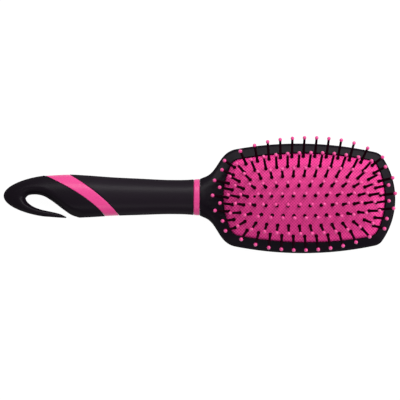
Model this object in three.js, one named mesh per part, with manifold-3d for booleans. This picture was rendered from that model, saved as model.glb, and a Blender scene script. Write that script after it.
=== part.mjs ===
// Cushioned paddle hair brush with a hooked handle.
//
// The brush lies on its back: pins up (+Z), head towards +X, hook towards -X.
// Units are millimetres.  The origin is at the middle of the outline, on the
// plane that the back rests on.

import * as THREE from 'three';
import { mergeGeometries, mergeVertices } from 'three/addons/utils/BufferGeometryUtils.js';
import Module from 'manifold-3d';

// ---------------------------------------------------------------- dimensions

// Space left between two pieces that touch on the real brush.
const GAP = 0.3;

// Head: plan outline (half widths from the long axis) and its levels.
const HEAD_MIDDLE = 64.5;
const HEAD_HALF_WIDTH = 35.1;
const HEAD_SIDE_RADIUS = 222;
const HEAD_END_X = 125;
const HEAD_END_RADIUS = 47.5;
const HEAD_CORNER = 7.5;
const SHOULDER_X = 23;
const NECK_X = 2.6;
const RIM_Z = 12;
const SPLIT_Z = 4.4;
const FLOOR_Z = 2.2;
const SHELL_X = 11.2;

// Opening of the front frame, which is also the visible edge of the cushion.
const OPENING_HALF_WIDTH = 28.5;
const OPENING_SIDE_RADIUS = 220;
const OPENING_LEFT = 15;
const OPENING_RIGHT = 118.2;
const OPENING_END_RADIUS = 46;
const OPENING_CORNER = 6.5;
const LIP_Z = 10.5;
const RECESS = 2.5;

// Cushion: a rubber dome with a flange clamped under the frame's lip.
const DOME_EDGE_Z = 11.3;
const DOME_RISE = 8.2;
const DOME_WALL = 1;
const FLANGE_Z = [9.2, 10.2];

// Pins: rows from +Y to -Y, the pins of a row joined under the cushion.  The
// pattern sits on the cushion slightly turned and off centre.
const PATTERN_MIDDLE = [66.3, 0.75];
const PATTERN_TURN = THREE.MathUtils.degToRad(1.2);
const ROW_COUNTS = [13, 14, 15, 14, 15, 14, 15, 14, 13];
const ROW_HALF_LENGTHS = [43.7, 44.6, 47.7, 45.4, 48.5, 45.4, 47.7, 44.6, 43.7];
const MIDDLE_ROW = 4;
const ROW_PITCH = 6.32;
const ROW_PINCH = 0.29;
const VENT_OFFSET = -31.5;
const VENT_RADIUS = 0.6;
const VENT_CLEARANCE = 4.4;
const PIN_LENGTH = 19;
const PIN_SIDES = 4;
const WEB_DEPTH = DOME_WALL + 0.6;
const WEB_SIZE = [1.1, 1.2];

// Handle: centre height, half widths and half thicknesses along its length.
const HANDLE_Z = 9;
const NOSE_X = -125;
const NOSE_START = -97;
const HALF_WIDTHS = [[-97, 13.2], [-84, 13.9], [-72, 13.4], [-56, 12.35], [-38, 11.6],
  [-18, 10.9], [-8, 11.05], [0, 11.7]];
const HALF_THICKNESSES = [[-97, 8.6], [-80, 9], [-56, 8.6], [-18, 7.9], [0, 8]];
const SECTION_POWER = 2.4;
const SECTION_SIDES = 20;
const RING_X = [-3.6, -0.2];
const CORE = [[-84, 4.6, 3.4], [-72, 6.2, 4.1], [-56, 7.4, 4.4], [-20, 7.2, 4.4], [8, 7, 4]];

// Slanted seams of the accent band: x = a + b * y + c * y * y.
const SEAM_HOOK = [-74.7, -1.506, -0.0267];
const SEAM_GRIP = [-63.16, -1.201, -0.0173];

// Hook opening: a leaf-shaped slot that leaves through the handle's lower edge.
const SLOT_UPPER = [[-111, -1.4], [-109.4, 0.3], [-104.6, 1], [-99.5, 0], [-94.4, -2.9],
  [-86.8, -8.5], [-81.7, -11.9], [-77.6, -13.6]];
const SLOT_LOWER = [[-84.8, -13.3], [-89, -11.3], [-94.4, -10], [-102, -8.3], [-107.2, -6],
  [-110.2, -3.3]];
const SLOT_MOUTH = [[-75, -19], [-84.8, -19]];

// ---------------------------------------------------------------- materials

const plastic = (color, roughness) => new THREE.MeshStandardMaterial({ color, roughness, metalness: 0 });
const softBlack = plastic(0x1b171c, 0.55);
const glossPink = plastic(0xe8408f, 0.25);
const rubberPink = plastic(0xc8377f, 0.6);
const pinBlack = plastic(0x120d12, 0.3);
const rawPlastic = plastic(0xb9b2b6, 0.5);

// ---------------------------------------------------------------- solids

const wasm = await Module();
wasm.setup();

function toSolid(geometry) {
  const plain = new THREE.BufferGeometry();
  plain.setAttribute('position', geometry.getAttribute('position'));
  plain.setIndex(geometry.index);
  const merged = mergeVertices(plain, 1e-4);
  return new wasm.Manifold(new wasm.Mesh({
    numProp: 3,
    vertProperties: merged.getAttribute('position').array,
    triVerts: Uint32Array.from(merged.index.array),
  }));
}

function toGeometry(solid) {
  const mesh = solid.getMesh();
  const geometry = new THREE.BufferGeometry();
  geometry.setAttribute('position', new THREE.BufferAttribute(mesh.vertProperties, 3));
  geometry.setIndex(new THREE.BufferAttribute(mesh.triVerts, 1));
  geometry.computeVertexNormals();
  return geometry;
}

function windingOf(points) {
  return Math.sign(THREE.ShapeUtils.area(points));
}

// Triangles that close a flat ring of points, wound the way the ring runs.
function capTriangles(ring, offset, flat) {
  const points = ring.map(flat);
  const winding = windingOf(points);
  return THREE.ShapeUtils.triangulateShape(points, []).flatMap((triangle) => {
    const same = windingOf(triangle.map((i) => points[i])) === winding;
    const [a, b, c] = triangle.map((i) => i + offset);
    return same ? [a, b, c] : [a, c, b];
  });
}

// Skin over rings of equal length.  An end is closed by a pole point when one
// is given, and by a flat cap when it is not.
function loft(rings, flat, poles = []) {
  const count = rings[0].length;
  const points = rings.flat();
  const index = [];
  for (let ring = 0; ring + 1 < rings.length; ring += 1) {
    for (let k = 0; k < count; k += 1) {
      const a = ring * count + k;
      const b = ring * count + (k + 1) % count;
      index.push(a, b, b + count, a, b + count, a + count);
    }
  }
  const last = (rings.length - 1) * count;
  [[0, poles[0], true], [last, poles[1], false]].forEach(([start, pole, first]) => {
    let cap;
    if (pole) {
      points.push(pole);
      cap = rings[0].flatMap((_, k) => [start + k, start + (k + 1) % count, points.length - 1]);
    } else {
      cap = capTriangles(points.slice(start, start + count), start, flat);
    }
    for (let i = 0; i < cap.length; i += 3) {
      index.push(...(first ? [cap[i], cap[i + 2], cap[i + 1]] : [cap[i], cap[i + 1], cap[i + 2]]));
    }
  });
  return facingOut(points, index);
}

function facingOut(points, index) {
  let volume = 0;
  for (let i = 0; i < index.length; i += 3) {
    const [a, b, c] = [points[index[i]], points[index[i + 1]], points[index[i + 2]]];
    volume += a.dot(b.clone().cross(c));
  }
  const geometry = new THREE.BufferGeometry();
  const numbers = points.flatMap((p) => p.toArray());
  geometry.setAttribute('position', new THREE.Float32BufferAttribute(numbers, 3));
  geometry.setIndex(volume > 0 ? index : index.slice().reverse());
  return geometry;
}

const flatXY = (p) => new THREE.Vector2(p.x, p.y);
const flatYZ = (p) => new THREE.Vector2(p.y, p.z);

// Moves a closed outline outwards (counter-clockwise outlines, negative moves inwards).
function grown(outline, distance) {
  const count = outline.length;
  return outline.map((point, k) => {
    const before = outline[(k + count - 1) % count];
    const after = outline[(k + 1) % count];
    const along = after.clone().sub(before).normalize();
    return new THREE.Vector2(point.x + along.y * distance, point.y - along.x * distance);
  });
}

// A solid between levels, each level being the outline moved out by some distance.
function stack(outline, levels) {
  const rings = levels.map(([distance, z]) => grown(outline, distance)
    .map((p) => new THREE.Vector3(p.x, p.y, z)));
  return toSolid(loft(rings, flatXY));
}

function wall(outline, distance, low, high) {
  return stack(outline, [[distance, low], [distance, high]]);
}

function box(low, high) {
  const size = high.map((value, i) => value - low[i]);
  const geometry = new THREE.BoxGeometry(...size);
  geometry.translate(...low.map((value, i) => value + size[i] / 2));
  return toSolid(geometry);
}

// ---------------------------------------------------------------- outlines

function arcPoints(centre, radius, from, to, steps) {
  return Array.from({ length: steps }, (_, k) => {
    const angle = from + (to - from) * k / steps;
    return new THREE.Vector2(centre.x + radius * Math.cos(angle), centre.y + radius * Math.sin(angle));
  });
}

// Upper right quarter of a barrel outline: end arc, corner arc, side arc.
function barrelQuarter(middle, half, sideRadius, reach, endRadius, corner) {
  const side = new THREE.Vector2(0, half - sideRadius);
  const end = new THREE.Vector2(reach - endRadius, 0);
  const between = end.distanceTo(side);
  const fromSide = sideRadius - corner;
  const fromEnd = endRadius - corner;
  const along = (between ** 2 + fromSide ** 2 - fromEnd ** 2) / (2 * between);
  const across = Math.sqrt(fromSide ** 2 - along ** 2);
  const axis = end.clone().sub(side).normalize();
  const fillet = new THREE.Vector2(
    side.x + axis.x * along + axis.y * across,
    side.y + axis.y * along - axis.x * across,
  );
  const endAngle = Math.atan2(fillet.y - end.y, fillet.x - end.x);
  const sideAngle = Math.atan2(fillet.y - side.y, fillet.x - side.x);
  const points = [
    ...arcPoints(end, endRadius, 0, endAngle, 2),
    ...arcPoints(fillet, corner, endAngle, sideAngle, 3),
    ...arcPoints(side, sideRadius, sideAngle, Math.PI / 2, 3),
  ];
  return points.map((p) => new THREE.Vector2(p.x + middle, p.y));
}

function mirroredAcross(points, middle) {
  return points.map((p) => new THREE.Vector2(2 * middle - p.x, p.y)).reverse();
}

function mirroredBelow(points) {
  return points.map((p) => new THREE.Vector2(p.x, -p.y)).reverse();
}

function openingOutline() {
  const middle = (OPENING_LEFT + OPENING_RIGHT) / 2;
  const reach = (OPENING_RIGHT - OPENING_LEFT) / 2;
  const quarter = barrelQuarter(middle, OPENING_HALF_WIDTH, OPENING_SIDE_RADIUS, reach,
    OPENING_END_RADIUS, OPENING_CORNER);
  const top = new THREE.Vector2(middle, OPENING_HALF_WIDTH);
  const left = new THREE.Vector2(OPENING_LEFT, 0);
  const upper = [...quarter, top, ...mirroredAcross(quarter.slice(1), middle)];
  return [...upper, left, ...mirroredBelow(upper.slice(1))];
}

function headOutline() {
  const reach = HEAD_END_X - HEAD_MIDDLE;
  const quarter = barrelQuarter(HEAD_MIDDLE, HEAD_HALF_WIDTH, HEAD_SIDE_RADIUS, reach,
    HEAD_END_RADIUS, HEAD_CORNER);
  const centreY = HEAD_HALF_WIDTH - HEAD_SIDE_RADIUS;
  const centre = new THREE.Vector2(HEAD_MIDDLE, centreY);
  const shoulderAngle = Math.acos((SHOULDER_X - HEAD_MIDDLE) / HEAD_SIDE_RADIUS);
  const side = arcPoints(centre, HEAD_SIDE_RADIUS, Math.PI / 2, shoulderAngle, 3);
  const shoulderY = centreY + HEAD_SIDE_RADIUS * Math.sin(shoulderAngle);
  const flare = new THREE.CubicBezierCurve(
    new THREE.Vector2(SHOULDER_X, shoulderY),
    new THREE.Vector2(SHOULDER_X - 11.5, shoulderY - 2.2),
    new THREE.Vector2(SHOULDER_X - 11, 15.8),
    new THREE.Vector2(NECK_X, 12.8),
  );
  const upper = [...quarter, ...side, ...flare.getPoints(7)];
  return [...upper, ...mirroredBelow(upper.slice(1))];
}

// ---------------------------------------------------------------- handle

function spline(table, x) {
  const curve = new THREE.SplineCurve(table.map(([u, v]) => new THREE.Vector2(u, v)));
  const at = table.findIndex(([u], k) => k + 1 === table.length || x < table[k + 1][0]);
  const span = Math.min(at, table.length - 2);
  const [start, end] = [table[span][0], table[span + 1][0]];
  const part = THREE.MathUtils.clamp((x - start) / (end - start), 0, 1);
  return curve.getPoint((span + part) / (table.length - 1)).y;
}

// Both half sizes of the handle at x, the nose closing in a rounded point.
function handleSize(x) {
  const table = [HALF_WIDTHS, HALF_THICKNESSES];
  if (x >= NOSE_START) {
    return table.map((values) => spline(values, x));
  }
  const closing = Math.sqrt(Math.max(0, 1 - ((NOSE_START - x) / (NOSE_START - NOSE_X)) ** 1.45));
  return table.map((values) => values[0][1] * closing);
}

function section(x, halfWidth, halfThickness, power, sides) {
  const bend = (value) => Math.sign(value) * Math.abs(value) ** (2 / power);
  return Array.from({ length: sides }, (_, k) => {
    const angle = (k + 0.5) * 2 * Math.PI / sides;
    const y = halfWidth * bend(Math.cos(angle));
    const z = HANDLE_Z + halfThickness * bend(Math.sin(angle));
    return new THREE.Vector3(x, y, z);
  });
}

function handleEnvelope(stations, scale = 1) {
  const rings = stations.map((x) => {
    const [width, thickness] = handleSize(x);
    return section(x, width * scale, thickness * scale, SECTION_POWER, SECTION_SIDES);
  });
  const pole = stations[0] < NOSE_START ? new THREE.Vector3(NOSE_X, 0, HANDLE_Z) : null;
  return toSolid(loft(rings, flatYZ, [pole]));
}

function coreSolid(margin) {
  const rings = CORE.map(([x, width, thickness], k) => {
    const end = k === 0 ? -margin : Number(k === CORE.length - 1) * margin;
    return section(x + end, width + margin, thickness + margin, 3, 16);
  });
  return toSolid(loft(rings, flatYZ));
}

// Everything on the hook side of a slanted seam, seen from above.
function hookSide(seam, shift) {
  const edge = Array.from({ length: 9 }, (_, k) => {
    const y = -20 + 5 * k;
    return new THREE.Vector2(seam[0] + seam[1] * y + seam[2] * y * y + shift, y);
  });
  const outline = [...edge, new THREE.Vector2(-140, 20), new THREE.Vector2(-140, -20)];
  return stack(outline, [[0, -5], [0, 25]]);
}

function slotCutter() {
  const plan = (points) => points.map(([x, y]) => new THREE.Vector2(x, y));
  const upper = new THREE.SplineCurve(plan(SLOT_UPPER)).getPoints(13);
  const lower = new THREE.SplineCurve(plan(SLOT_LOWER)).getPoints(9);
  const outline = [...upper, ...plan(SLOT_MOUTH), ...lower].reverse();
  return stack(outline, [[2.4, -2], [1, 3], [0, 7], [0, 11], [1, 15], [2.4, 20]]);
}

function hookCap() {
  const stations = [-124.7, -123.6, -121.4, -118, -113, -107, -101, -94, -86, -78, -70, -60, -50];
  return handleEnvelope(stations)
    .intersect(hookSide(SEAM_HOOK, -GAP / 2))
    .subtract(slotCutter())
    .subtract(coreSolid(GAP));
}

function accentBand() {
  return handleEnvelope([-104, -97, -90, -83, -76, -69, -62, -55, -46], 0.98)
    .intersect(hookSide(SEAM_GRIP, -GAP / 2))
    .subtract(hookSide(SEAM_HOOK, GAP / 2))
    .subtract(coreSolid(GAP));
}

function gripSleeve() {
  return handleEnvelope([-88, -80, -72, -64, -56, -46, -34, -24, -16, -9, RING_X[0] - GAP])
    .subtract(hookSide(SEAM_GRIP, GAP / 2))
    .subtract(coreSolid(GAP));
}

function neckRing() {
  const [low, high] = RING_X;
  const [width, thickness] = handleSize(-2);
  const rings = [[low, -0.5], [low + 0.5, 0], [high - 0.5, 0], [high, -0.5]]
    .map(([x, grow]) => section(x, width + grow, thickness + grow, SECTION_POWER, SECTION_SIDES));
  return toSolid(loft(rings, flatYZ)).subtract(coreSolid(GAP));
}

// ---------------------------------------------------------------- head

const opening = openingOutline();
const head = headOutline();

// Neck that runs from the round handle into the flat head.
function neckSolid() {
  const stations = [[0.1, 11.75, 1, 17], [3, 13.1, 0.9, 16.7], [7, 15, 0.7, 15.8],
    [11, 15.6, 0.5, 14.2], [15, 14.6, 0.4, 12.7], [19, 12, 0.4, 11.7]];
  const rings = stations.map(([x, half, low, high]) => {
    const lift = (high + low) / 2 - HANDLE_Z;
    return section(x, half, (high - low) / 2, SECTION_POWER, SECTION_SIDES)
      .map((p) => p.setZ(p.z + lift));
  });
  return toSolid(loft(rings, flatYZ));
}

function headBody() {
  const plate = stack(head, [[-3.2, 0], [-0.9, 1.3], [0, 4.2], [0, 9], [-0.8, 11.2], [-2.8, RIM_Z]]);
  return plate.add(neckSolid());
}

function headFrame(body) {
  return body
    .subtract(box([SHELL_X, -50, -5], [140, 50, SPLIT_Z + GAP / 2]))
    .subtract(wall(opening, RECESS, -1, LIP_Z))
    .subtract(stack(opening, [[0, 5], [0, RIM_Z - 0.7], [0.5, RIM_Z + 0.1], [0.5, 30]]))
    .subtract(coreSolid(GAP));
}

function backShell(body) {
  const rib = wall(opening, RECESS - GAP, SPLIT_Z - 1, 7.2).subtract(wall(opening, 0.6, 0, 10));
  return body
    .intersect(box([SHELL_X + GAP, -50, -5], [140, 50, SPLIT_Z - GAP / 2]))
    .subtract(wall(opening, 0.6, FLOOR_Z, 10))
    .add(rib);
}

function cushionRetainer() {
  return wall(opening, RECESS - GAP, 7.5, 8.9).subtract(wall(opening, -0.2, 5, 12));
}

// ---------------------------------------------------------------- cushion

const middleX = (OPENING_LEFT + OPENING_RIGHT) / 2;

// Position across the opening, -1 to 1 from edge to edge in both directions.
function acrossOpening(x, y) {
  const halfWidth = OPENING_HALF_WIDTH - (x - middleX) ** 2 / (2 * OPENING_SIDE_RADIUS);
  const halfLength = (OPENING_RIGHT - OPENING_LEFT) / 2 - y ** 2 / (2 * OPENING_END_RADIUS);
  return [(x - middleX) / halfLength, y / halfWidth];
}

function domeZ(x, y) {
  const [u, v] = acrossOpening(x, y).map(Math.abs);
  return DOME_EDGE_Z + DOME_RISE * Math.max(0, 1 - u ** 4) * Math.max(0, 1 - v ** 3);
}

function domeRing(part, drop) {
  return opening.map((p) => {
    const x = middleX + (p.x - middleX) * part;
    const y = p.y * part;
    return new THREE.Vector3(x, y, domeZ(x, y) - drop);
  });
}

function cushionPad() {
  const parts = [0.42, 0.7, 0.87, 0.955];
  const level = (distance, z) => grown(opening, distance).map((p) => new THREE.Vector3(p.x, p.y, z));
  const rings = [
    ...parts.map((part) => domeRing(part, DOME_WALL)),
    level(-0.8, FLANGE_Z[0]),
    level(RECESS - GAP, FLANGE_Z[0]),
    level(RECESS - GAP, FLANGE_Z[1]),
    level(-GAP, FLANGE_Z[1]),
    level(-GAP - 0.1, DOME_EDGE_Z - 0.1),
    ...parts.map((part) => domeRing(part, 0)).reverse(),
  ];
  const poles = [DOME_WALL, 0].map((drop) => new THREE.Vector3(middleX, 0, domeZ(middleX, 0) - drop));
  const holes = ROW_COUNTS.flatMap((_, row) => rowPins(row).map(pinHole));
  const vent = new THREE.CylinderGeometry(VENT_RADIUS, VENT_RADIUS, 6, 6);
  vent.rotateX(Math.PI / 2);
  vent.translate(...pinAt(VENT_OFFSET, MIDDLE_ROW).foot.toArray());
  return toSolid(loft(rings, flatXY, poles))
    .subtract(toSolid(mergeGeometries(holes)))
    .subtract(toSolid(vent));
}

// ---------------------------------------------------------------- pins

// The pins of a row, from the handle's end to the far end.
function rowPins(row) {
  const count = ROW_COUNTS[row];
  return Array.from({ length: count }, (_, k) => {
    const offset = ROW_HALF_LENGTHS[row] * (2 * k / (count - 1) - 1);
    return pinAt(row === MIDDLE_ROW ? clearOfVent(offset) : offset, row);
  });
}

function clearOfVent(offset) {
  const away = offset - VENT_OFFSET;
  return VENT_OFFSET + Math.sign(away) * Math.max(Math.abs(away), VENT_CLEARANCE);
}

// Foot on the dome and direction of the pin at some offset along a row.  The
// pins lean outwards, the more so the nearer they stand to the edge.
function pinAt(offset, row) {
  const side = (MIDDLE_ROW - row) * ROW_PITCH * (1 - ROW_PINCH * (offset / 47.8) ** 2);
  const plan = new THREE.Vector2(offset, side).rotateAround(new THREE.Vector2(), PATTERN_TURN);
  const x = PATTERN_MIDDLE[0] + plan.x;
  const y = PATTERN_MIDDLE[1] + plan.y;
  const [u, v] = acrossOpening(x, y);
  const along = (offset - 2.3) / 48;
  const leanX = (0.18 * along + 0.32 * Math.sign(along) * along ** 4) * (1 - 0.22 * v ** 2);
  const leanY = 0.795 * Math.sign(v) * v ** 2 * (1 - Math.abs(u) ** 5);
  const foot = new THREE.Vector3(x, y, domeZ(x, y));
  return { offset, foot, axis: new THREE.Vector3(leanX, leanY, 1).normalize() };
}

// Rings of a round bar along a pin's axis, given as [distance, radius] steps.
function pinRings({ foot, axis }, steps, sides) {
  const turn = new THREE.Quaternion().setFromUnitVectors(new THREE.Vector3(0, 0, 1), axis);
  return steps.map(([distance, radius]) => Array.from({ length: sides }, (_, k) => {
    const angle = 2 * Math.PI * (k + 0.5) / sides;
    return new THREE.Vector3(radius * Math.cos(angle), radius * Math.sin(angle), distance)
      .applyQuaternion(turn).add(foot);
  }));
}

function pinHole(pin) {
  return loft(pinRings(pin, [[-2.4, 1.45], [1.8, 1.45]], 4), flatXY);
}

function pinBody(pin) {
  const root = -(WEB_DEPTH + 0.3) / pin.axis.z;
  const steps = [[root, 0.7], [1, 1.3], [2.6, 0.72], [PIN_LENGTH - 1, 0.66], [PIN_LENGTH, 1.15]];
  const tip = pin.foot.clone().addScaledVector(pin.axis, PIN_LENGTH + 1);
  return loft(pinRings(pin, steps, PIN_SIDES), flatXY, [null, tip]);
}

// Three-sided strip under the cushion that carries a row's pins.
function pinWeb(pins, row) {
  const joints = pins.slice(1).map(({ offset }, k) => pinAt((offset + pins[k].offset) / 2, row));
  const ends = [pinAt(pins[0].offset - 0.8, row), pinAt(pins[pins.length - 1].offset + 0.8, row)];
  const rings = [ends[0], ...joints, ends[1]].map(({ foot, axis }) => {
    const normal = new THREE.Vector3(0, axis.y, axis.z).normalize();
    const across = new THREE.Vector3(0, normal.z, -normal.y).multiplyScalar(WEB_SIZE[0]);
    const top = foot.clone().addScaledVector(normal, -WEB_DEPTH / axis.z);
    const keel = top.clone().addScaledVector(normal, -WEB_SIZE[1]);
    return [top.clone().sub(across), top.clone().add(across), keel];
  });
  return toSolid(loft(rings, flatYZ));
}

function pinStrip(row) {
  const pins = rowPins(row);
  return pinWeb(pins, row).add(toSolid(mergeGeometries(pins.map(pinBody))));
}

// ---------------------------------------------------------------- assembly

const brush = new THREE.Group();

function place(name, solid, material) {
  const mesh = new THREE.Mesh(toGeometry(solid), material);
  mesh.name = name;
  brush.add(mesh);
}

const body = headBody();
place('back_shell', backShell(body), softBlack);
place('head_frame', headFrame(body), softBlack);
place('cushion_retainer', cushionRetainer(), rawPlastic);
place('cushion_pad', cushionPad(), rubberPink);
ROW_COUNTS.forEach((_, row) => place(`pin_strip_${row + 1}`, pinStrip(row), pinBlack));
place('neck_ring', neckRing(), glossPink);
place('grip_sleeve', gripSleeve(), softBlack);
place('accent_band', accentBand(), glossPink);
place('hook_cap', hookCap(), softBlack);
place('handle_core', coreSolid(0), rawPlastic);

export default brush;
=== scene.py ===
"""Looks of a cushioned paddle hair brush with a hooked handle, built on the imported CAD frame.

The brush lies on its back, pins up, head towards +X.  Shapes below are written in
millimetres and turned into metres when a mesh is made.
"""

import math

import bmesh
import bpy
import numpy as np
from mathutils import Matrix, Vector


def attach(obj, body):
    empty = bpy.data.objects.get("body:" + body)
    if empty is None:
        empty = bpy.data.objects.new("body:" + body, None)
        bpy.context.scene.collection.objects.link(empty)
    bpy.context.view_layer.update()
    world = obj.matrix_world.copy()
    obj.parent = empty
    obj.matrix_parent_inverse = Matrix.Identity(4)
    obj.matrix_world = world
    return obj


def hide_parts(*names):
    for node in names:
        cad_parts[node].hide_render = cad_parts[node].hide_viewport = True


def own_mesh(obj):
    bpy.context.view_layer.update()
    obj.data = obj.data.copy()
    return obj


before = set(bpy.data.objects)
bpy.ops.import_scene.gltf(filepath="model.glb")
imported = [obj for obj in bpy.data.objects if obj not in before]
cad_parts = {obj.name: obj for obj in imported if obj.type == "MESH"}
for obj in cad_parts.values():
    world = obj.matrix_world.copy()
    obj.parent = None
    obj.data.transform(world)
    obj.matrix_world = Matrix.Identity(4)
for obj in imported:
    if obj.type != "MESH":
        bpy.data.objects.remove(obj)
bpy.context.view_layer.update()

MM = 0.001

# ------------------------------------------------------------------ dimensions

RIM_Z = 12.0
HANDLE_Z = 9.0
NOSE_X = -125.0
NOSE_START = -97.0
HALF_WIDTHS = [(-97, 13.2), (-84, 13.9), (-72, 13.4), (-56, 12.35),
               (-38, 11.6), (-18, 10.9), (-8, 11.05), (0, 11.7)]
HALF_THICKNESSES = [(-97, 8.6), (-80, 9.0), (-56, 8.6), (-18, 7.9), (0, 8.0)]
SECTION_POWER = 2.4
# Slanted seams of the accent band: x as a quadratic in y.
SEAM_HOOK = (-74.7, -1.506, -0.0267)
SEAM_GRIP = (-63.16, -1.201, -0.0173)
SEAM_GAP = 0.12

OPENING = dict(left=15.0, right=118.2, half=28.5, side_radius=220.0, end_radius=46.0, corner=6.5)
HEAD = dict(middle=64.5, half=35.1, side_radius=222.0, right=125.0, end_radius=47.5, corner=7.5)
HEAD_EDGE_Z = 6.6
EDGE_ROUND = 1.9
SHOULDER_X = 23.0
NECK_END = (0.1, 11.75)
NECK_Z = (1.0, 17.0)
# The head's two halves: where the back cover starts, and the gap between them.
SHELL_X = (11.2, 11.32)
SPLIT_Z = (4.33, 4.47)
# The trim ring between the grip and the neck, and the end of the grip next to it.
RING_X = (-3.65, -0.1)
GRIP_END_X = -3.85
DOME_EDGE_Z = 11.3
DOME_RISE = 8.2
DOME_WALL = 1.0

ROW_COUNTS = [13, 14, 15, 14, 15, 14, 15, 14, 13]
ROW_HALF_LENGTHS = [43.7, 44.6, 47.7, 45.4, 48.5, 45.4, 47.7, 44.6, 43.7]
ROW_PITCH = 6.32
ROW_PINCH = 0.29
PATTERN_MIDDLE = (66.3, 0.75)
PATTERN_TURN = math.radians(1.2)
MIDDLE_ROW = 4
PIN_LENGTH = 19.0
VENT_OFFSET = -31.5
VENT_CLEARANCE = 4.4
VENT_RADIUS = 0.8
WEAVE_PITCH = 1.4


# ------------------------------------------------------------------ mesh helpers

def mesh_object(name, points, faces, smooth_angle=40.0):
    """A smooth-shaded object from points in millimetres."""
    data = bpy.data.meshes.new(name)
    data.from_pydata([tuple(np.asarray(p) * MM) for p in points], [], faces)
    made = bmesh.new()
    made.from_mesh(data)
    bmesh.ops.remove_doubles(made, verts=made.verts, dist=1e-7)
    bmesh.ops.recalc_face_normals(made, faces=made.faces)
    made.to_mesh(data)
    made.free()
    data.shade_smooth()
    data.set_sharp_from_angle(angle=math.radians(smooth_angle))
    piece = bpy.data.objects.new(name, data)
    bpy.context.scene.collection.objects.link(piece)
    return piece


def rings_mesh(rings, close_ends=True):
    """Points and faces of a skin over closed rings of equal length."""
    count = len(rings[0])
    points = [p for ring in rings for p in ring]
    faces = []
    for r in range(len(rings) - 1):
        for k in range(count):
            a, b = r * count + k, r * count + (k + 1) % count
            faces.append((a, b, b + count, a + count))
    if close_ends:
        faces.append(tuple(range(count)))
        start = (len(rings) - 1) * count
        faces.append(tuple(range(start, start + count)))
    return points, faces


def spline(table, x):
    """Smooth curve through a table of (x, value) points."""
    xs = np.array([t[0] for t in table], float)
    ys = np.array([t[1] for t in table], float)
    slopes = np.gradient(ys, xs)
    x = np.clip(np.asarray(x, float), xs[0], xs[-1])
    k = np.clip(np.searchsorted(xs, x, side="right") - 1, 0, len(xs) - 2)
    step = xs[k + 1] - xs[k]
    t = (x - xs[k]) / step
    h00, h10 = 2 * t**3 - 3 * t**2 + 1, t**3 - 2 * t**2 + t
    h01, h11 = -2 * t**3 + 3 * t**2, t**3 - t**2
    return h00 * ys[k] + h10 * step * slopes[k] + h01 * ys[k + 1] + h11 * step * slopes[k + 1]


def smoothstep(low, high, x):
    t = np.clip((np.asarray(x, float) - low) / (high - low), 0, 1)
    return t * t * (3 - 2 * t)


def curve_points(controls, count):
    """Evenly spaced points along a smooth curve through control points."""
    controls = np.array(controls, float)
    steps = np.linalg.norm(np.diff(controls, axis=0), axis=1) ** 0.5
    knots = np.concatenate([[0], np.cumsum(steps)])
    fine = np.linspace(0, knots[-1], 600)
    columns = [spline(list(zip(knots, column)), fine) for column in controls.T]
    path = np.stack(columns, axis=1)
    along = np.concatenate([[0], np.cumsum(np.linalg.norm(np.diff(path, axis=0), axis=1))])
    wanted = np.linspace(0, along[-1], count)
    return np.stack([np.interp(wanted, along, column) for column in path.T], axis=1)


def on_pattern(offset, side):
    """Plan position from the offset along a row and the distance from the middle row."""
    turn = math.cos(PATTERN_TURN), math.sin(PATTERN_TURN)
    x = PATTERN_MIDDLE[0] + offset * turn[0] - side * turn[1]
    y = PATTERN_MIDDLE[1] + offset * turn[1] + side * turn[0]
    return x, y


# ------------------------------------------------------------------ materials

class Nodes:
    """Short way to write a material's node tree."""

    def __init__(self, name, color, roughness, **sockets):
        self.material = bpy.data.materials.new(name)
        self.material.use_nodes = True
        self.tree = self.material.node_tree
        self.shader = self.tree.nodes["Principled BSDF"]
        self.shader.inputs["Base Color"].default_value = (*color, 1)
        self.shader.inputs["Roughness"].default_value = roughness
        for socket, value in sockets.items():
            self.shader.inputs[socket.replace("_", " ")].default_value = value
        self.place = self.add("ShaderNodeTexCoord").outputs["Object"]

    def add(self, kind, **settings):
        node = self.tree.nodes.new(kind)
        for key, value in settings.items():
            setattr(node, key, value)
        return node

    def link(self, a, b):
        self.tree.links.new(a, b)

    def noise(self, scale, detail):
        node = self.add("ShaderNodeTexNoise")
        node.inputs["Scale"].default_value = scale
        node.inputs["Detail"].default_value = detail
        node.inputs["Roughness"].default_value = 0.55
        self.link(self.place, node.inputs["Vector"])
        return node.outputs["Fac"]

    def math(self, operation, *values):
        node = self.add("ShaderNodeMath", operation=operation)
        for socket, value in zip(node.inputs, values):
            if isinstance(value, (int, float)):
                socket.default_value = value
            else:
                self.link(value, socket)
        return node.outputs[0]

    def span(self, value, low, high, to_low, to_high):
        node = self.add("ShaderNodeMapRange")
        self.link(value, node.inputs["Value"])
        ends = {"From Min": low, "From Max": high, "To Min": to_low, "To Max": to_high}
        for socket, number in ends.items():
            node.inputs[socket].default_value = number
        return node.outputs["Result"]

    def colors(self, value, stops):
        node = self.add("ShaderNodeValToRGB")
        ramp = node.color_ramp
        while len(ramp.elements) < len(stops):
            ramp.elements.new(0.5)
        for element, (position, color) in zip(ramp.elements, stops):
            element.position = position
            element.color = (*color, 1)
        self.link(value, node.inputs["Fac"])
        return node.outputs["Color"]

    def bump(self, height, distance, strength):
        node = self.add("ShaderNodeBump")
        node.inputs["Strength"].default_value = strength
        node.inputs["Distance"].default_value = distance
        self.link(height, node.inputs["Height"])
        self.link(node.outputs["Normal"], self.shader.inputs["Normal"])

    def base_color(self, value, stops):
        self.link(self.colors(value, stops), self.shader.inputs["Base Color"])

    def roughness(self, value):
        self.link(value, self.shader.inputs["Roughness"])


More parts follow.
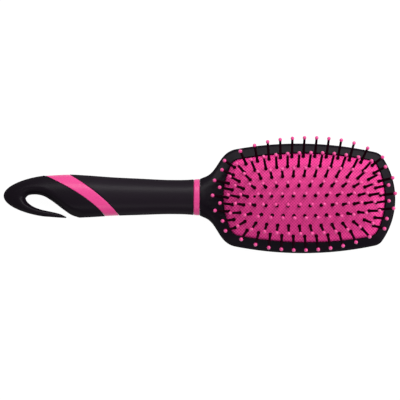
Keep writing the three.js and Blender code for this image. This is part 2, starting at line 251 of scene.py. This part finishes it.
def matt_black(name, color, sheen, grain_size):
    """Dark plastic under a thin satin coat, with an even grain and a slightly uneven tone."""
    m = Nodes(name, color, 0.5, Specular_IOR_Level=0.0, Coat_Weight=sheen, Coat_IOR=2.5, Coat_Roughness=0.34)
    grain = m.noise(grain_size, 2)
    cloud = m.noise(38, 3)
    m.roughness(m.span(cloud, 0.3, 0.7, 0.45, 0.55))
    m.base_color(cloud, [(0.3, [0.9 * c for c in color]), (0.7, [1.1 * c for c in color])])
    m.bump(grain, 0.00004, 0.6)
    return m.material


def gloss_pink():
    """Smooth moulded pink plastic with faint mould waviness."""
    m = Nodes("pink_gloss", (0.64, 0.049, 0.222), 0.28, IOR=1.3, Coat_Weight=0.1, Coat_Roughness=0.15)
    wave = m.noise(60, 2)
    speck = m.noise(900, 2)
    m.base_color(wave, [(0.3, (0.62, 0.046, 0.212)), (0.7, (0.66, 0.052, 0.232))])
    m.roughness(m.span(speck, 0.3, 0.7, 0.24, 0.33))
    m.bump(wave, 0.0004, 0.25)
    return m.material


def cushion_rubber():
    """Satin pink rubber, embossed with a fine diagonal cross-hatch; painted shade in the hatch's valleys,
    painted highlight on its ridges and painted shade inside the air hole.
    """
    m = Nodes("cushion_rubber", (0.65, 0.036, 0.22), 0.5, IOR=1.25)
    split = m.add("ShaderNodeSeparateXYZ")
    m.link(m.place, split.inputs[0])
    x, y = split.outputs["X"], split.outputs["Y"]
    turns = 2 * math.pi / (WEAVE_PITCH * MM) * math.sqrt(0.5)
    diagonals = m.math("ADD", x, y), m.math("SUBTRACT", x, y)
    waves = [m.math("SINE", m.math("MULTIPLY", across, turns)) for across in diagonals]
    grid = m.math("MULTIPLY_ADD", m.math("ADD", *waves), 0.25, 0.5)
    # Colour follows the hatch: painted shade in its valleys and painted highlight on its ridges, plus a
    # little random tone.
    tone = m.math("MULTIPLY_ADD", m.noise(30, 2), 0.12, m.math("MULTIPLY", grid, 0.88))
    # Painted shade: the colour fades to near black inside the air hole's bore, where no light gets in.
    vent = on_pattern(VENT_OFFSET, 0)
    away = [m.math("SUBTRACT", value, middle * MM) for value, middle in zip((x, y), vent)]
    distance = m.math("SQRT", m.math("ADD", *[m.math("MULTIPLY", d, d) for d in away]))
    tone = m.math("MULTIPLY", tone, m.span(distance, 0.00085, 0.001, 0, 1))
    # Colour stops: near black for the painted shade in the air hole, darker pink for the painted shade in the
    # hatch's valleys, lighter pink for the painted highlight on its ridges.
    hole, shaded_valley, lit_ridge = (0.003, 0.0005, 0.001), (0.58, 0.020, 0.158), (1.0, 0.062, 0.370)
    m.base_color(tone, [(0.0, hole), (0.12, shaded_valley), (0.88, lit_ridge)])
    m.roughness(m.span(grid, 0, 1, 0.60, 0.46))
    m.bump(grid, 0.00012, 0.8)
    return m.material


def pin_black():
    """Gloss black nylon with faint moulding marks."""
    m = Nodes("pin_nylon", (0.011, 0.0026, 0.0054), 0.3,
              Specular_IOR_Level=0.0, Coat_Weight=0.02, Coat_IOR=2.5, Coat_Roughness=0.25)
    mark = m.noise(1500, 2)
    m.roughness(m.span(mark, 0.3, 0.7, 0.2, 0.34))
    m.base_color(mark, [(0.3, (0.010, 0.0023, 0.0048)), (0.7, (0.012, 0.0029, 0.006))])
    return m.material


def tip_pink():
    """Dipped glossy beads, each a little different in tone."""
    m = Nodes("tip_bead", (0.65, 0.046, 0.235), 0.24, IOR=1.35, Coat_Weight=0.3, Coat_Roughness=0.1)
    m.base_color(m.noise(130, 1), [(0.3, (0.61, 0.041, 0.215)), (0.7, (0.69, 0.053, 0.255))])
    m.roughness(m.span(m.noise(2500, 2), 0.3, 0.7, 0.17, 0.28))
    return m.material


def raw_plastic():
    """Dark moulded plastic of the hidden pieces."""
    m = Nodes("raw_plastic", (0.03, 0.02, 0.025), 0.5)
    m.base_color(m.noise(80, 4), [(0.3, (0.026, 0.017, 0.021)), (0.7, (0.034, 0.023, 0.029))])
    m.bump(m.noise(1800, 2), 0.00005, 0.5)
    return m.material


MATERIALS = {
    "soft_grip": matt_black("soft_grip", (0.0075, 0.0042, 0.0082), 0.055, 5200),
    # Painted shade: the hook cap is the grip's own soft-touch rubber, made darker and with a weaker coat for
    # the shade on its nose.
    "soft_hook_painted_shade": matt_black("soft_hook_painted_shade", (0.0052, 0.0030, 0.0058), 0.038, 5200),
    "satin_head": matt_black("satin_head", (0.0050, 0.0028, 0.0060), 0.031, 7500),
    "pink_gloss": gloss_pink(),
    "cushion_rubber": cushion_rubber(),
    "pin_nylon": pin_black(),
    "tip_bead": tip_pink(),
    "raw_plastic": raw_plastic(),
}


def finish_piece(piece, material, body, nodes=()):
    """Give a piece its material, its body and the CAD nodes that it replaces."""
    piece.data.materials.clear()
    piece.data.materials.append(MATERIALS[material])
    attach(piece, body)
    if nodes:
        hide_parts(*nodes)


# ------------------------------------------------------------------ camera, light, floor

def add_camera():
    """Almost straight down, seen a little from the -Y side."""
    data = bpy.data.cameras.new("camera")
    camera = bpy.data.objects.new("camera", data)
    bpy.context.scene.collection.objects.link(camera)
    data.sensor_width = 36
    data.lens = 169.4
    data.clip_start, data.clip_end = 0.01, 20
    elevation, distance, roll = math.radians(85.9), 1.2, math.radians(0.43)
    target = Vector((0.25, -1.75, 9.0)) * MM
    back = Vector((0, -math.cos(elevation), math.sin(elevation)))
    up = Vector((0, math.sin(elevation), math.cos(elevation)))
    right = up.cross(back)
    turn = Matrix((right, up, back)).transposed()
    turn = (turn @ Matrix.Rotation(roll, 3, "Z")).to_4x4()
    camera.matrix_world = Matrix.Translation(target + back * distance) @ turn
    bpy.context.scene.camera = camera


def add_area(name, place, size, power):
    """Soft box that faces the brush."""
    data = bpy.data.lights.new(name, "AREA")
    data.shape = "RECTANGLE"
    data.size, data.size_y = size
    data.energy = power
    light = bpy.data.objects.new(name, data)
    light.location = place
    light.rotation_euler = Vector(place).to_track_quat("Z", "Y").to_euler()
    bpy.context.scene.collection.objects.link(light)


def add_stage():
    """Pale floor that is bright enough to keep the shadows faint, and soft studio light."""
    reach = 4000
    corners = [(-reach, -reach, 0), (reach, -reach, 0), (reach, reach, 0), (-reach, reach, 0)]
    floor = mesh_object("floor", corners, [(0, 1, 2, 3)])
    paper = Nodes("floor_paper", (0.06, 0.06, 0.06), 0.9, Specular_IOR_Level=0.0)
    paper.shader.inputs["Emission Color"].default_value = (1, 1, 1, 1)
    paper.shader.inputs["Emission Strength"].default_value = 0.98
    paper.bump(paper.noise(300, 3), 0.0001, 0.3)
    floor.data.materials.append(paper.material)
    add_area("key", (0.0, 0.60, 1.05), (1.2, 0.35), 5.7)
    add_area("key_high", (0.55, 0.58, 1.07), (0.9, 0.9), 8.1)
    add_area("side_y", (0.0, 1.4, 0.7), (1.2, 1.2), 2.75)
    add_area("side_x", (1.4, 0.0, 0.7), (1.2, 1.2), 13.6)
    add_area("fill", (-0.2, -0.7, 1.02), (0.5, 0.25), 0.9)
    world = bpy.data.worlds.new("world")
    world.use_nodes = True
    background = world.node_tree.nodes["Background"]
    background.inputs["Color"].default_value = (1, 1, 1, 1)
    background.inputs["Strength"].default_value = 0.465
    bpy.context.scene.world = world
    bpy.context.scene.view_settings.view_transform = "Standard"


add_camera()
add_stage()


# ------------------------------------------------------------------ handle

def half_sizes(x):
    """Half width and half thickness of the handle, the nose closing in a rounded point."""
    x = np.asarray(x, float)
    share = np.clip((NOSE_START - x) / (NOSE_START - NOSE_X), 0, 1)
    closing = np.sqrt(1 - share**1.45)
    return [spline(table, np.maximum(x, NOSE_START)) * closing for table in (HALF_WIDTHS, HALF_THICKNESSES)]


def bend(value):
    """Cosine or sine of the section's rounded-square outline."""
    return np.sign(value) * np.abs(value) ** (2 / SECTION_POWER)


def on_handle(x, angle, inset=0.0):
    """Point on the handle's skin, moved in from the surface by inset."""
    width, thickness = half_sizes(x)
    y = (width - inset) * bend(np.cos(angle))
    z = HANDLE_Z + (thickness - inset) * bend(np.sin(angle))
    return np.stack([x + 0 * y, y, z], axis=-1)


def seam_at(seam, y):
    return seam[0] + seam[1] * y + seam[2] * y * y


def seam_x(seam, angle, shift, inset=0.0):
    """Where a slanted seam crosses each line along the handle."""
    x = np.full_like(angle, seam[0])
    for _ in range(60):
        y = (half_sizes(x)[0] - inset) * bend(np.cos(angle))
        x = 0.5 * x + 0.5 * (seam_at(seam, y) + shift)
    return x


# Rounded end of a sleeve: how far along from the end, and how far in.
END_ROUND = [(0.0, 1.4), (0.0, 0.3), (0.06, 0.14), (0.2, 0.04), (0.5, 0.0)]


def sleeve(name, start, end, steps, inset=0.0, rounds=END_ROUND):
    """Closed piece of the handle between two end curves, with rounded ends."""
    angle = np.linspace(0, 2 * math.pi, 160, endpoint=False)
    low, high = start(angle, inset), end(angle, inset)
    stations = [(start(angle, inset + depth) + along, inset + depth) for along, depth in rounds]
    for share in np.linspace(0, 1, steps + 2)[1:-1]:
        stations.append((low + 0.7 + (high - low - 1.4) * share, inset))
    stations += [(end(angle, inset + depth) - along, inset + depth) for along, depth in reversed(rounds)]
    rings = [on_handle(x, angle, depth) for x, depth in stations]
    return mesh_object(name, *rings_mesh(rings), smooth_angle=50)


def slanted(seam, shift):
    """End of a sleeve along a slanted seam."""
    return lambda angle, inset: seam_x(seam, angle, shift, inset)


def straight(x):
    """Square end of a sleeve."""
    return lambda angle, inset: np.full_like(angle, x)


def add_grip():
    grip = sleeve("grip_sleeve_soft", slanted(SEAM_GRIP, SEAM_GAP), straight(GRIP_END_X), 60)
    finish_piece(grip, "soft_grip", "brush_body", ["grip_sleeve"])


def add_band():
    rounds = [(-0.1, 1.4), (-0.1, 0.4), (0.0, 0.3), *END_ROUND[2:]]
    ends = slanted(SEAM_HOOK, SEAM_GAP), slanted(SEAM_GRIP, -SEAM_GAP)
    band = sleeve("accent_band_gloss", *ends, 20, inset=0.1, rounds=rounds)
    finish_piece(band, "pink_gloss", "brush_body", ["accent_band"])


def add_ring():
    rounds = [(-0.15, 2.0), (-0.15, 0.5), (0.0, 0.4), (0.05, 0.24), (0.18, 0.1), (0.4, 0.02), (0.6, 0.0)]
    ring = sleeve("neck_ring_gloss", *[straight(x) for x in RING_X], 3, rounds=rounds)
    finish_piece(ring, "pink_gloss", "brush_body", ["neck_ring"])


# Both edges of the slot in the hook: from its mouth to its blind end, and back out.
SLOT_UPPER = [(-77.6, -13.35), (-81.7, -11.9), (-86.8, -8.5), (-94.4, -2.9),
              (-99.5, 0.0), (-104.6, 1.0), (-109.4, 0.3), (-111, -1.4)]
SLOT_LOWER = [(-111, -1.4), (-110.2, -3.3), (-107.2, -6.0), (-102, -8.3),
              (-94.4, -10.0), (-89, -11.3), (-84.8, -13.2)]


def mirror(points, axis, middle=0.0):
    flipped = points.copy()
    flipped[:, axis] = 2 * middle - flipped[:, axis]
    return flipped


def edge_of_handle(start_x, end_x, side, count):
    """Stretch of the handle's outline in plan, on the +Y or the -Y side."""
    x = np.linspace(start_x, end_x, count)
    return np.stack([x, side * half_sizes(x)[0]], axis=1)


def resample(path, shares):
    """Points at the given shares of a path's length."""
    along = np.concatenate([[0], np.cumsum(np.linalg.norm(np.diff(path, axis=0), axis=1))])
    return np.stack([np.interp(np.asarray(shares) * along[-1], along, path[:, i]) for i in range(2)], axis=1)


# Shares of the hook's run at which both edges are matched, and how far along each
# edge is by then.
HOOK_RUN = [0, 0.12, 0.3, 0.5, 0.62, 0.7, 1]
HOOK_OUTER = [0, 0.02, 0.12, 0.33, 0.47, 0.57, 1]
HOOK_INNER = [0, 0.17, 0.37, 0.62, 0.685, 0.73, 1]
SLOT_ROUND = 5.0
BELLY_X = -76.6
POINT_X = -84.9


def hook_edges(count):
    """Outer and inner edge of the hook in plan, matched section by section."""
    top, bottom = seam_x(SEAM_HOOK, np.array([0.0, math.pi]), -SEAM_GAP)
    nose_x = NOSE_X + (NOSE_START - NOSE_X) * (1 - np.cos(np.linspace(math.pi / 2, 0, 60)))
    nose = np.stack([nose_x, half_sizes(nose_x)[0]], axis=1)
    outer = [edge_of_handle(top, NOSE_START, 1, 30), nose,
             mirror(nose[::-1], 1), edge_of_handle(NOSE_START, POINT_X, -1, 40)]
    slot = np.concatenate([curve_points(SLOT_UPPER, 120), curve_points(SLOT_LOWER, 90)])
    inner = [edge_of_handle(bottom, BELLY_X, -1, 30), slot]
    t = np.linspace(0, 1, count)
    outer = resample(np.concatenate(outer), np.interp(t, HOOK_RUN, HOOK_OUTER))
    inner = resample(np.concatenate(inner), np.interp(t, HOOK_RUN, HOOK_INNER))
    return outer, inner, slot


def envelope_height(x, y):
    """Half thickness of the handle over plan points."""
    width, thickness = half_sizes(x)
    share = np.clip(np.abs(y) / np.maximum(width, 1e-6), 0, 1)
    return thickness * (1 - share**SECTION_POWER) ** (1 / SECTION_POWER)


def distance_to(path, points):
    """Distance from each point to the nearest stretch of a path."""
    a, b = path[:-1], path[1:]
    run = b - a
    length = np.maximum((run**2).sum(1), 1e-12)
    t = np.clip(((points[:, None, :] - a) * run).sum(2) / length, 0, 1)
    near = a + t[..., None] * run
    return np.sqrt(((points[:, None, :] - near) ** 2).sum(2)).min(1)


def cut_along_seam(rings):
    """Round the hook's first sections where they meet the slanted seam."""
    centre = np.array([0, HANDLE_Z])
    first = rings[0]
    reach = np.maximum(np.hypot(*(first[:, 1:] - centre).T), 5.0)[:, None]
    rounded = []
    for back, depth in END_ROUND:
        ring = first.copy()
        ring[:, 1:] = centre + (first[:, 1:] - centre) * (1 - depth / reach)
        ring[:, 0] = seam_at(SEAM_HOOK, ring[:, 1]) - SEAM_GAP - back
        rounded.append(ring)
    for k, ring in enumerate(rings[2:]):
        limit = seam_at(SEAM_HOOK, ring[:, 1]) - 0.85 - 0.002 * k
        rounded.append(np.column_stack([np.minimum(ring[:, 0], limit), ring[:, 1:]]))
    return rounded


def add_hook():
    """Hook as one run of sections from the seam round the nose to the point of the lower arm."""
    sections, sides = 200, 64
    outer, inner, slot = hook_edges(sections)
    angle = np.linspace(0, 2 * math.pi, sides, endpoint=False)
    across = (1 - np.cos(angle))[None, :, None] / 2
    plan = outer[:, None, :] * (1 - across) + inner[:, None, :] * across
    run = np.linspace(0, 1, sections)[:, None]
    to_seam = seam_at(SEAM_HOOK, plan[0, :, 1]) - SEAM_GAP - plan[0, :, 0]
    plan[..., 0] += to_seam[None, :] * (1 - smoothstep(0, 0.22, run))
    near = distance_to(slot, plan.reshape(-1, 2)).reshape(sections, sides)
    height = envelope_height(plan[..., 0], plan[..., 1])
    height = height * np.sqrt(np.clip(1 - (1 - np.clip(near / SLOT_ROUND, 0, 1)) ** 2, 0, 1))
    height = height * (1 - 0.72 * smoothstep(0.68, 1.0, run))
    side = np.where(np.isclose(np.sin(angle), 0), 0, np.sign(np.sin(angle)))
    rings = np.concatenate([plan, (HANDLE_Z + side * height)[..., None]], axis=2)
    piece = mesh_object("hook_cap_soft", *rings_mesh(cut_along_seam(rings)), smooth_angle=50)
    # The hook's darker rubber is painted shade on the grip's material.
    finish_piece(piece, "soft_hook_painted_shade", "brush_body", ["hook_cap"])


add_grip()
add_band()
add_ring()
add_hook()


# ------------------------------------------------------------------ head

def arc(centre, radius, start, end, count):
    angle = np.linspace(start, end, count)
    return np.stack([centre[0] + radius * np.cos(angle), centre[1] + radius * np.sin(angle)], axis=1)


def barrel_quarter(middle, half, side_radius, reach, end_radius, corner):
    """Upper right quarter of a barrel outline: end arc, corner arc, side arc."""
    side = np.array([0.0, half - side_radius])
    end = np.array([reach - end_radius, 0.0])
    axis = end - side
    between = np.linalg.norm(axis)
    axis = axis / between
    from_side, from_end = side_radius - corner, end_radius - corner
    along = (between**2 + from_side**2 - from_end**2) / (2 * between)
    off = math.sqrt(from_side**2 - along**2)
    fillet = side + axis * along + np.array([axis[1], -axis[0]]) * off
    end_angle = math.atan2(*(fillet - end)[::-1])
    side_angle = math.atan2(*(fillet - side)[::-1])
    parts = [arc(end, end_radius, 0, end_angle, 16),
             arc(fillet, corner, end_angle, side_angle, 14)[1:],
             arc(side, side_radius, side_angle, math.pi / 2, 30)[1:]]
    return np.concatenate(parts) + np.array([middle, 0])


def opening_outline():
    """Closed outline of the opening for the cushion."""
    o = OPENING
    middle, reach = (o["left"] + o["right"]) / 2, (o["right"] - o["left"]) / 2
    quarter = barrel_quarter(middle, o["half"], o["side_radius"], reach, o["end_radius"], o["corner"])
    upper = np.concatenate([quarter, mirror(quarter, 0, middle)[::-1][1:]])
    return np.concatenate([upper, mirror(upper, 1)[::-1][1:-1]])


def head_upper_edge():
    """From the far end of the head over the +Y side to the neck."""
    h = HEAD
    middle, radius = h["middle"], h["side_radius"]
    quarter = barrel_quarter(middle, h["half"], radius, h["right"] - middle, h["end_radius"], h["corner"])
    shoulder_angle = math.acos((SHOULDER_X - middle) / radius)
    side = arc((middle, h["half"] - radius), radius, math.pi / 2, shoulder_angle, 24)[1:]
    p0 = side[-1]
    p1, p2, p3 = p0 - (11.5, 2.2), np.array([SHOULDER_X - 11.0, 15.8]), np.array([2.6, 12.8])
    t = np.linspace(0, 1, 30)[1:, None]
    flare = (1 - t) ** 3 * p0 + 3 * (1 - t) ** 2 * t * p1 + 3 * (1 - t) * t**2 * p2 + t**3 * p3
    neck = curve_points([p3, (1.3, 12.2), NECK_END], 6)[1:]
    return np.concatenate([quarter, side, flare, neck])


def even(loop, count):
    """Evenly spaced points round a closed loop."""
    return resample(np.concatenate([loop, loop[:1]]), np.linspace(0, 1, count, endpoint=False))


UPPER_EDGE = head_upper_edge()
SIDE_LINE = np.concatenate([UPPER_EDGE[::-1], mirror(UPPER_EDGE, 1)[1:]])


def head_width(x):
    table = UPPER_EDGE[np.argsort(UPPER_EDGE[:, 0])]
    return np.interp(x, *table.T)


def head_surface(points, upper=True):
    """Height of the head's front or back skin over plan points."""
    x, y = points[:, 0], points[:, 1]
    near = distance_to(SIDE_LINE, points)
    plate = np.sqrt(np.clip(1 - (1 - np.clip(near / EDGE_ROUND, 0, 1)) ** 2.2, 0, 1))
    if upper:
        plate = plate * (0.7 + 0.3 * np.clip(near / 6.4, 0, 1) ** 0.9)
    share = np.clip(np.abs(y) / head_width(x), 0, 1)
    round_neck = (1 - share**SECTION_POWER) ** (1 / SECTION_POWER)
    change = smoothstep(-1, 17, x)
    edge = round_neck * (1 - change) + plate * change
    level = HANDLE_Z + (HEAD_EDGE_Z - HANDLE_Z) * smoothstep(0, 16, x)
    if upper:
        reach = NECK_Z[1] + (RIM_Z - NECK_Z[1]) * smoothstep(0, 19, x) ** 0.9
    else:
        reach = NECK_Z[0] * (1 - smoothstep(0, 16, x))
    return level + (reach - level) * edge


def match_by_angle(outer, opening, centre):
    """Point on the opening's outline that faces each point of the outer loop."""
    def turn(points):
        return np.unwrap(np.arctan2(points[:, 1] - centre[1], points[:, 0] - centre[0]))

    ring = np.concatenate([opening, opening[:1]])
    have = turn(ring)
    full = have[-1] - have[0]
    share = ((turn(outer) - have[0]) / full) % 1.0
    return np.stack([np.interp(share, (have - have[0]) / full, column) for column in ring.T], axis=1)


# Rings from the middle of the back out to the edge, then over the front to the opening.
BACK_SHARES = (0.6, 0.3, 0.15, 0.09, 0.06, 0.04, 0.025, 0.014, 0.006, 0.001)
FRONT_SHARES = 0.93 * np.linspace(0, 1, 34) ** 2
# Rounded lip and straight wall of the opening: how far out, and at what height.
LIP = ((0.55, RIM_Z), (0.3, RIM_Z - 0.06), (0.1, RIM_Z - 0.22), (0.0, RIM_Z - 0.5), (0.0, 9.0), (0.0, 5.0))


def head_solid():
    """Whole head and neck as one closed mesh, with the pocket for the cushion."""
    count = 420
    neck_x, neck_half = NECK_END
    neck_end = np.stack([np.full(21, neck_x), np.linspace(-neck_half, neck_half, 21)], axis=1)
    loop = np.concatenate([mirror(UPPER_EDGE, 1), neck_end[1:-1], UPPER_EDGE[::-1][:-1]])
    outer = even(loop, count)
    centre = np.array([(OPENING["left"] + OPENING["right"]) / 2, 0])
    inner = match_by_angle(outer, opening_outline(), centre)
    rings = []
    for share in BACK_SHARES:
        plan = outer + (np.array([62.0, 0.0]) - outer) * share
        rings.append(np.column_stack([plan, head_surface(plan, upper=False)]))
    for share in FRONT_SHARES:
        plan = outer + (inner - outer) * share
        rings.append(np.column_stack([plan, head_surface(plan)]))
    away = (inner - centre) / np.linalg.norm(inner - centre, axis=1, keepdims=True)
    for grow, z in LIP:
        plan = inner + away * grow
        level = np.full(count, z)
        if grow:
            level = np.maximum(level, level - RIM_Z + head_surface(plan))
        rings.append(np.column_stack([plan, level]))
    return rings_mesh(rings)


def cut_with_box(piece, low, high, operation):
    """Boolean with a box given in millimetres, applied to the mesh."""
    corners = [(x, y, z) for x in (low[0], high[0]) for y in (low[1], high[1]) for z in (low[2], high[2])]
    faces = [(0, 1, 3, 2), (4, 6, 7, 5), (0, 4, 5, 1), (2, 3, 7, 6), (0, 2, 6, 4), (1, 5, 7, 3)]
    cutter = mesh_object("cutter", corners, faces)
    apply_boolean(piece, cutter, operation)


def apply_boolean(piece, cutter, operation):
    """Cut with another object, or keep what both share, and drop that object."""
    change = piece.modifiers.new("cut", "BOOLEAN")
    change.operation = operation
    change.object = cutter
    change.solver = "EXACT"
    graph = bpy.context.evaluated_depsgraph_get()
    data = bpy.data.meshes.new_from_object(piece.evaluated_get(graph))
    piece.modifiers.clear()
    old = piece.data
    piece.data = data
    bpy.data.meshes.remove(old)
    bpy.data.objects.remove(cutter)
    piece.data.shade_smooth()
    piece.data.set_sharp_from_angle(angle=math.radians(40))


def add_head():
    """The same solid twice: cut away below the split for the frame, kept there for the cover."""
    points, faces = head_solid()
    front = mesh_object("head_frame_soft", points, faces)
    back = mesh_object("back_shell_soft", points, faces)
    cut_with_box(front, (SHELL_X[0], -60, -5), (140, 60, SPLIT_Z[1]), "DIFFERENCE")
    cut_with_box(back, (SHELL_X[1], -60, -5), (140, 60, SPLIT_Z[0]), "INTERSECT")
    finish_piece(front, "satin_head", "brush_body", ["head_frame"])
    finish_piece(back, "satin_head", "brush_body", ["back_shell"])


add_head()


# ------------------------------------------------------------------ cushion

def across_opening(x, y):
    """How far out a point is, as shares of the opening's half length and half width."""
    o = OPENING
    middle = (o["left"] + o["right"]) / 2
    half_width = o["half"] - (x - middle) ** 2 / (2 * o["side_radius"])
    half_length = (o["right"] - o["left"]) / 2 - y**2 / (2 * o["end_radius"])
    return (x - middle) / half_length, y / half_width


def dome_z(x, y):
    u, v = across_opening(np.asarray(x, float), np.asarray(y, float))
    return DOME_EDGE_Z + DOME_RISE * np.clip(1 - np.abs(u) ** 4, 0, 1) * np.clip(1 - np.abs(v) ** 3, 0, 1)


def edge_roll(plan):
    """How far the rubber rolls down where it dips behind the frame."""
    outline = opening_outline()
    near = distance_to(np.concatenate([outline, outline[:1]]), plan)
    return 1.1 * (1 - np.clip(near / 2.2, 0, 1)) ** 2


def pin_at(offset, row):
    """Foot and direction of the pin at some offset along a row."""
    x, y = on_pattern(offset, (MIDDLE_ROW - row) * ROW_PITCH * (1 - ROW_PINCH * (offset / 47.8) ** 2))
    u, v = across_opening(x, y)
    along = (offset - 2.3) / 48
    lean_x = (0.18 * along + 0.32 * math.copysign(along**4, along)) * (1 - 0.22 * v**2)
    lean_y = 0.795 * math.copysign(v**2, v) * (1 - abs(u) ** 5)
    return Vector((x, y, float(dome_z(x, y)))), Vector((lean_x, lean_y, 1)).normalized()


def row_pins(row):
    """Pins of a row, evenly spaced, with room for the air hole in the middle row."""
    pins = []
    for k in range(ROW_COUNTS[row]):
        offset = ROW_HALF_LENGTHS[row] * (2 * k / (ROW_COUNTS[row] - 1) - 1)
        if row == MIDDLE_ROW:
            away = offset - VENT_OFFSET
            offset = VENT_OFFSET + math.copysign(max(abs(away), VENT_CLEARANCE), away)
        pins.append(pin_at(offset, row))
    return pins


def add_cushion():
    """Thin rubber dome whose edge turns down behind the frame's lip."""
    outline = even(opening_outline(), 300)
    centre = np.array([(OPENING["left"] + OPENING["right"]) / 2, 0])
    away = (outline - centre) / np.linalg.norm(outline - centre, axis=1, keepdims=True)
    inside = outline - away * 0.06

    def dome(share, drop):
        plan = centre + (inside - centre) * share
        return np.column_stack([plan, dome_z(*plan.T) - edge_roll(plan) - drop])

    shares = np.sin(np.linspace(0.02, 1, 64) * math.pi / 2)
    rings = [dome(share, DOME_WALL) for share in shares[::4]]
    rings.append(np.column_stack([inside, np.full(len(inside), 9.0)]))
    rings += [dome(share, 0.0) for share in shares[::-1]]
    piece = mesh_object("cushion_dome", *rings_mesh(rings))
    drill_vent(piece)
    finish_piece(piece, "cushion_rubber", "brush_body", ["cushion_pad"])
    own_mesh(piece)


def lathe(profile, foot, axis, sides):
    """Rings of a round body along an axis, given as (distance, radius) steps."""
    turn = Vector((0, 0, 1)).rotation_difference(axis).to_matrix()
    angles = [2 * math.pi * k / sides for k in range(sides)]
    rings = []
    for distance, radius in profile:
        ring = [Vector((radius * math.cos(a), radius * math.sin(a), distance)) for a in angles]
        rings.append([tuple(turn @ point + foot) for point in ring])
    return rings


def drill_vent(piece):
    """Small air hole between two pins of the middle row."""
    middle = pin_at(VENT_OFFSET, MIDDLE_ROW)[0]
    profile = [(-1.6, VENT_RADIUS), (1.0, VENT_RADIUS)]
    rings = lathe(profile, middle, Vector((0, 0, 1)), 24)
    apply_boolean(piece, mesh_object("drill", *rings_mesh(rings)), "DIFFERENCE")


add_cushion()


# ------------------------------------------------------------------ pins

# Pin from inside the rubber to inside the bead: distance along it, and radius.
SHAFT = [(-1.4, 0.6), (-0.7, 0.9), (0.0, 1.1), (0.45, 1.16), (0.95, 1.12), (1.45, 1.03), (1.95, 0.94),
         (2.5, 0.88), (3.4, 0.86), (6.0, 0.84), (12.0, 0.8), (17.4, 0.76), (18.4, 0.68)]
TIP_RADIUS = 1.15


def gathered(parts):
    """Several closed skins as one mesh."""
    points, faces = [], []
    for some_points, some_faces in parts:
        start = len(points)
        points += some_points
        faces += [tuple(i + start for i in face) for face in some_faces]
    return points, faces


def add_pins():
    turns = np.linspace(0.16, math.pi - 0.05, 13)
    bead = [(PIN_LENGTH - TIP_RADIUS * math.cos(a), TIP_RADIUS * math.sin(a)) for a in turns]
    for row in range(len(ROW_COUNTS)):
        body = f"pin_row_{row + 1}"
        pins = row_pins(row)
        shafts = gathered(rings_mesh(lathe(SHAFT, foot, axis, 14)) for foot, axis in pins)
        beads = gathered(rings_mesh(lathe(bead, foot, axis, 20)) for foot, axis in pins)
        finish_piece(mesh_object(f"pins_row_{row + 1}", *shafts), "pin_nylon", body, [f"pin_strip_{row + 1}"])
        finish_piece(mesh_object(f"tips_row_{row + 1}", *beads), "tip_bead", body)


add_pins()


# ------------------------------------------------------------------ pieces that stay as they are in CAD

for name in ("cushion_retainer", "handle_core"):
    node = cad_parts[name]
    node.data.materials.clear()
    node.data.materials.append(MATERIALS["raw_plastic"])
